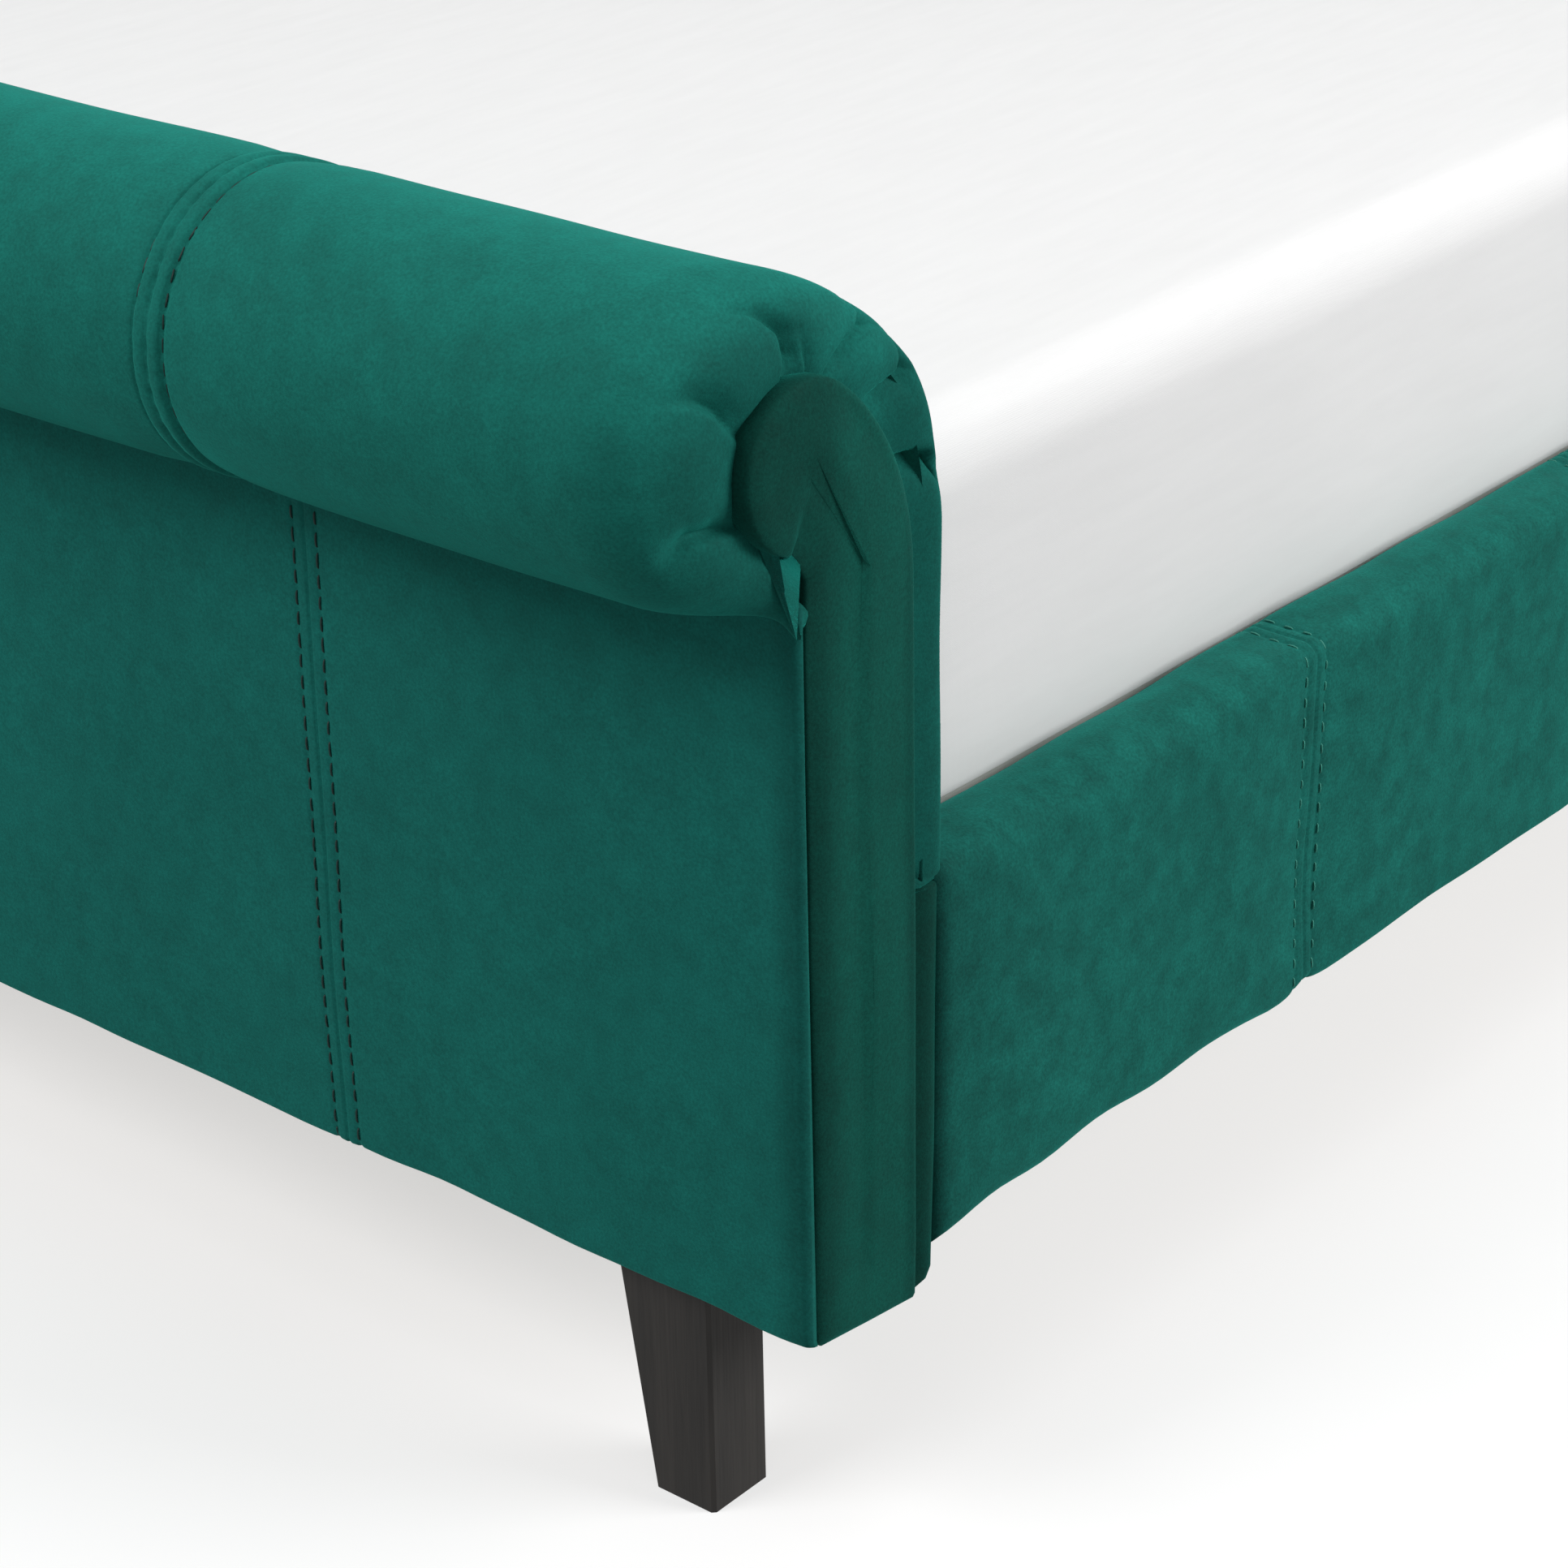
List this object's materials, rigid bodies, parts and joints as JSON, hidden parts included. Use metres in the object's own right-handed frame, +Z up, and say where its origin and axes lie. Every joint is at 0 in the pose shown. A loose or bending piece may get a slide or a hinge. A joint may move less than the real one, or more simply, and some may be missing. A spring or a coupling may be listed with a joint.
{
  "type": "upholstered scroll bed",
  "caption": "Velvet scroll bed: rolled footboard and taller rolled headboard, padded side rails, tapered dark legs, slatted base, and a mattress in a plain fitted sheet.",
  "frame": {"origin": "on the floor, at the middle of the bed's width and length", "axes": "+Z up, +Y from the footboard to the headboard, +X to the right of someone standing at the foot and looking at the headboard"},
  "size_m": [1.64, 2.4398, 1.18],
  "materials": {
    "velvet": "matte",
    "dark_leg": "satin",
    "mattress_ticking": "matte",
    "white_linen": "matte",
    "slat_birch": "satin",
    "pine": "matte",
    "plywood": "matte",
    "black_plastic": "matte",
    "black_steel": "satin",
    "zinc_steel": "satin"
  },
  "bodies": {
    "bed_frame": {"bracket_bolts": "zinc_steel", "bracket_screws": "zinc_steel", "centre_brackets": "black_steel", "centre_rail": "pine", "foot_corner_brackets": "black_steel", "foot_cross_rails": "pine", "foot_end_panels": "plywood", "foot_facing_boards": "plywood", "foot_facing_left": "velvet", "foot_facing_right": "velvet", "foot_inner_board": "plywood", "foot_inner_pad": "velvet", "foot_leg_left": "dark_leg", "foot_leg_right": "dark_leg", "foot_lower_cover": "velvet", "foot_mount_board": "pine", "foot_outer_board": "plywood", "foot_outer_pad": "velvet", "foot_posts": "pine", "foot_roll_pad": "velvet", "foot_scroll_bar": "pine", "foot_scroll_ribs": "plywood", "foot_scroll_skin": "plywood", "head_corner_brackets": "black_steel", "head_cross_rails": "pine", "head_end_panels": "plywood", "head_facing_boards": "plywood", "head_facing_left": "velvet", "head_facing_right": "velvet", "head_inner_board": "plywood", "head_inner_pad": "velvet", "head_leg_left": "dark_leg", "head_leg_right": "dark_leg", "head_lower_cover": "velvet", "head_mount_board": "pine", "head_outer_board": "plywood", "head_outer_pad": "velvet", "head_posts": "pine", "head_roll_pad": "velvet", "head_scroll_bar": "pine", "head_scroll_ribs": "plywood", "head_scroll_skin": "plywood", "leg_bolts": "zinc_steel", "rail_board_left": "pine", "rail_board_right": "pine", "rail_pad_left": "velvet", "rail_pad_right": "velvet", "slat_holders_centre": "black_plastic", "slat_holders_side": "black_plastic", "slat_ledger_left": "pine", "slat_ledger_right": "pine", "slats_left": "slat_birch", "slats_right": "slat_birch", "support_leg_front": "pine", "support_leg_rear": "pine"},
    "mattress": {"mattress": "mattress_ticking", "fitted_sheet": "white_linen"},
    "levelling_foot_front": {"levelling_foot_front": "zinc_steel"},
    "levelling_foot_rear": {"levelling_foot_rear": "zinc_steel"}
  },
  "joints": [
    {"name": "mattress_lift", "type": "slide", "parent": "bed_frame", "child": "mattress", "axis": [0, 0, 1], "range_m": [0, 0.4]},
    {"name": "levelling_foot_front_screw", "type": "slide", "parent": "bed_frame", "child": "levelling_foot_front", "axis": [0, 0, -1], "range_m": [0, 0.015]},
    {"name": "levelling_foot_rear_screw", "type": "slide", "parent": "bed_frame", "child": "levelling_foot_rear", "axis": [0, 0, -1], "range_m": [0, 0.015]}
  ]
}
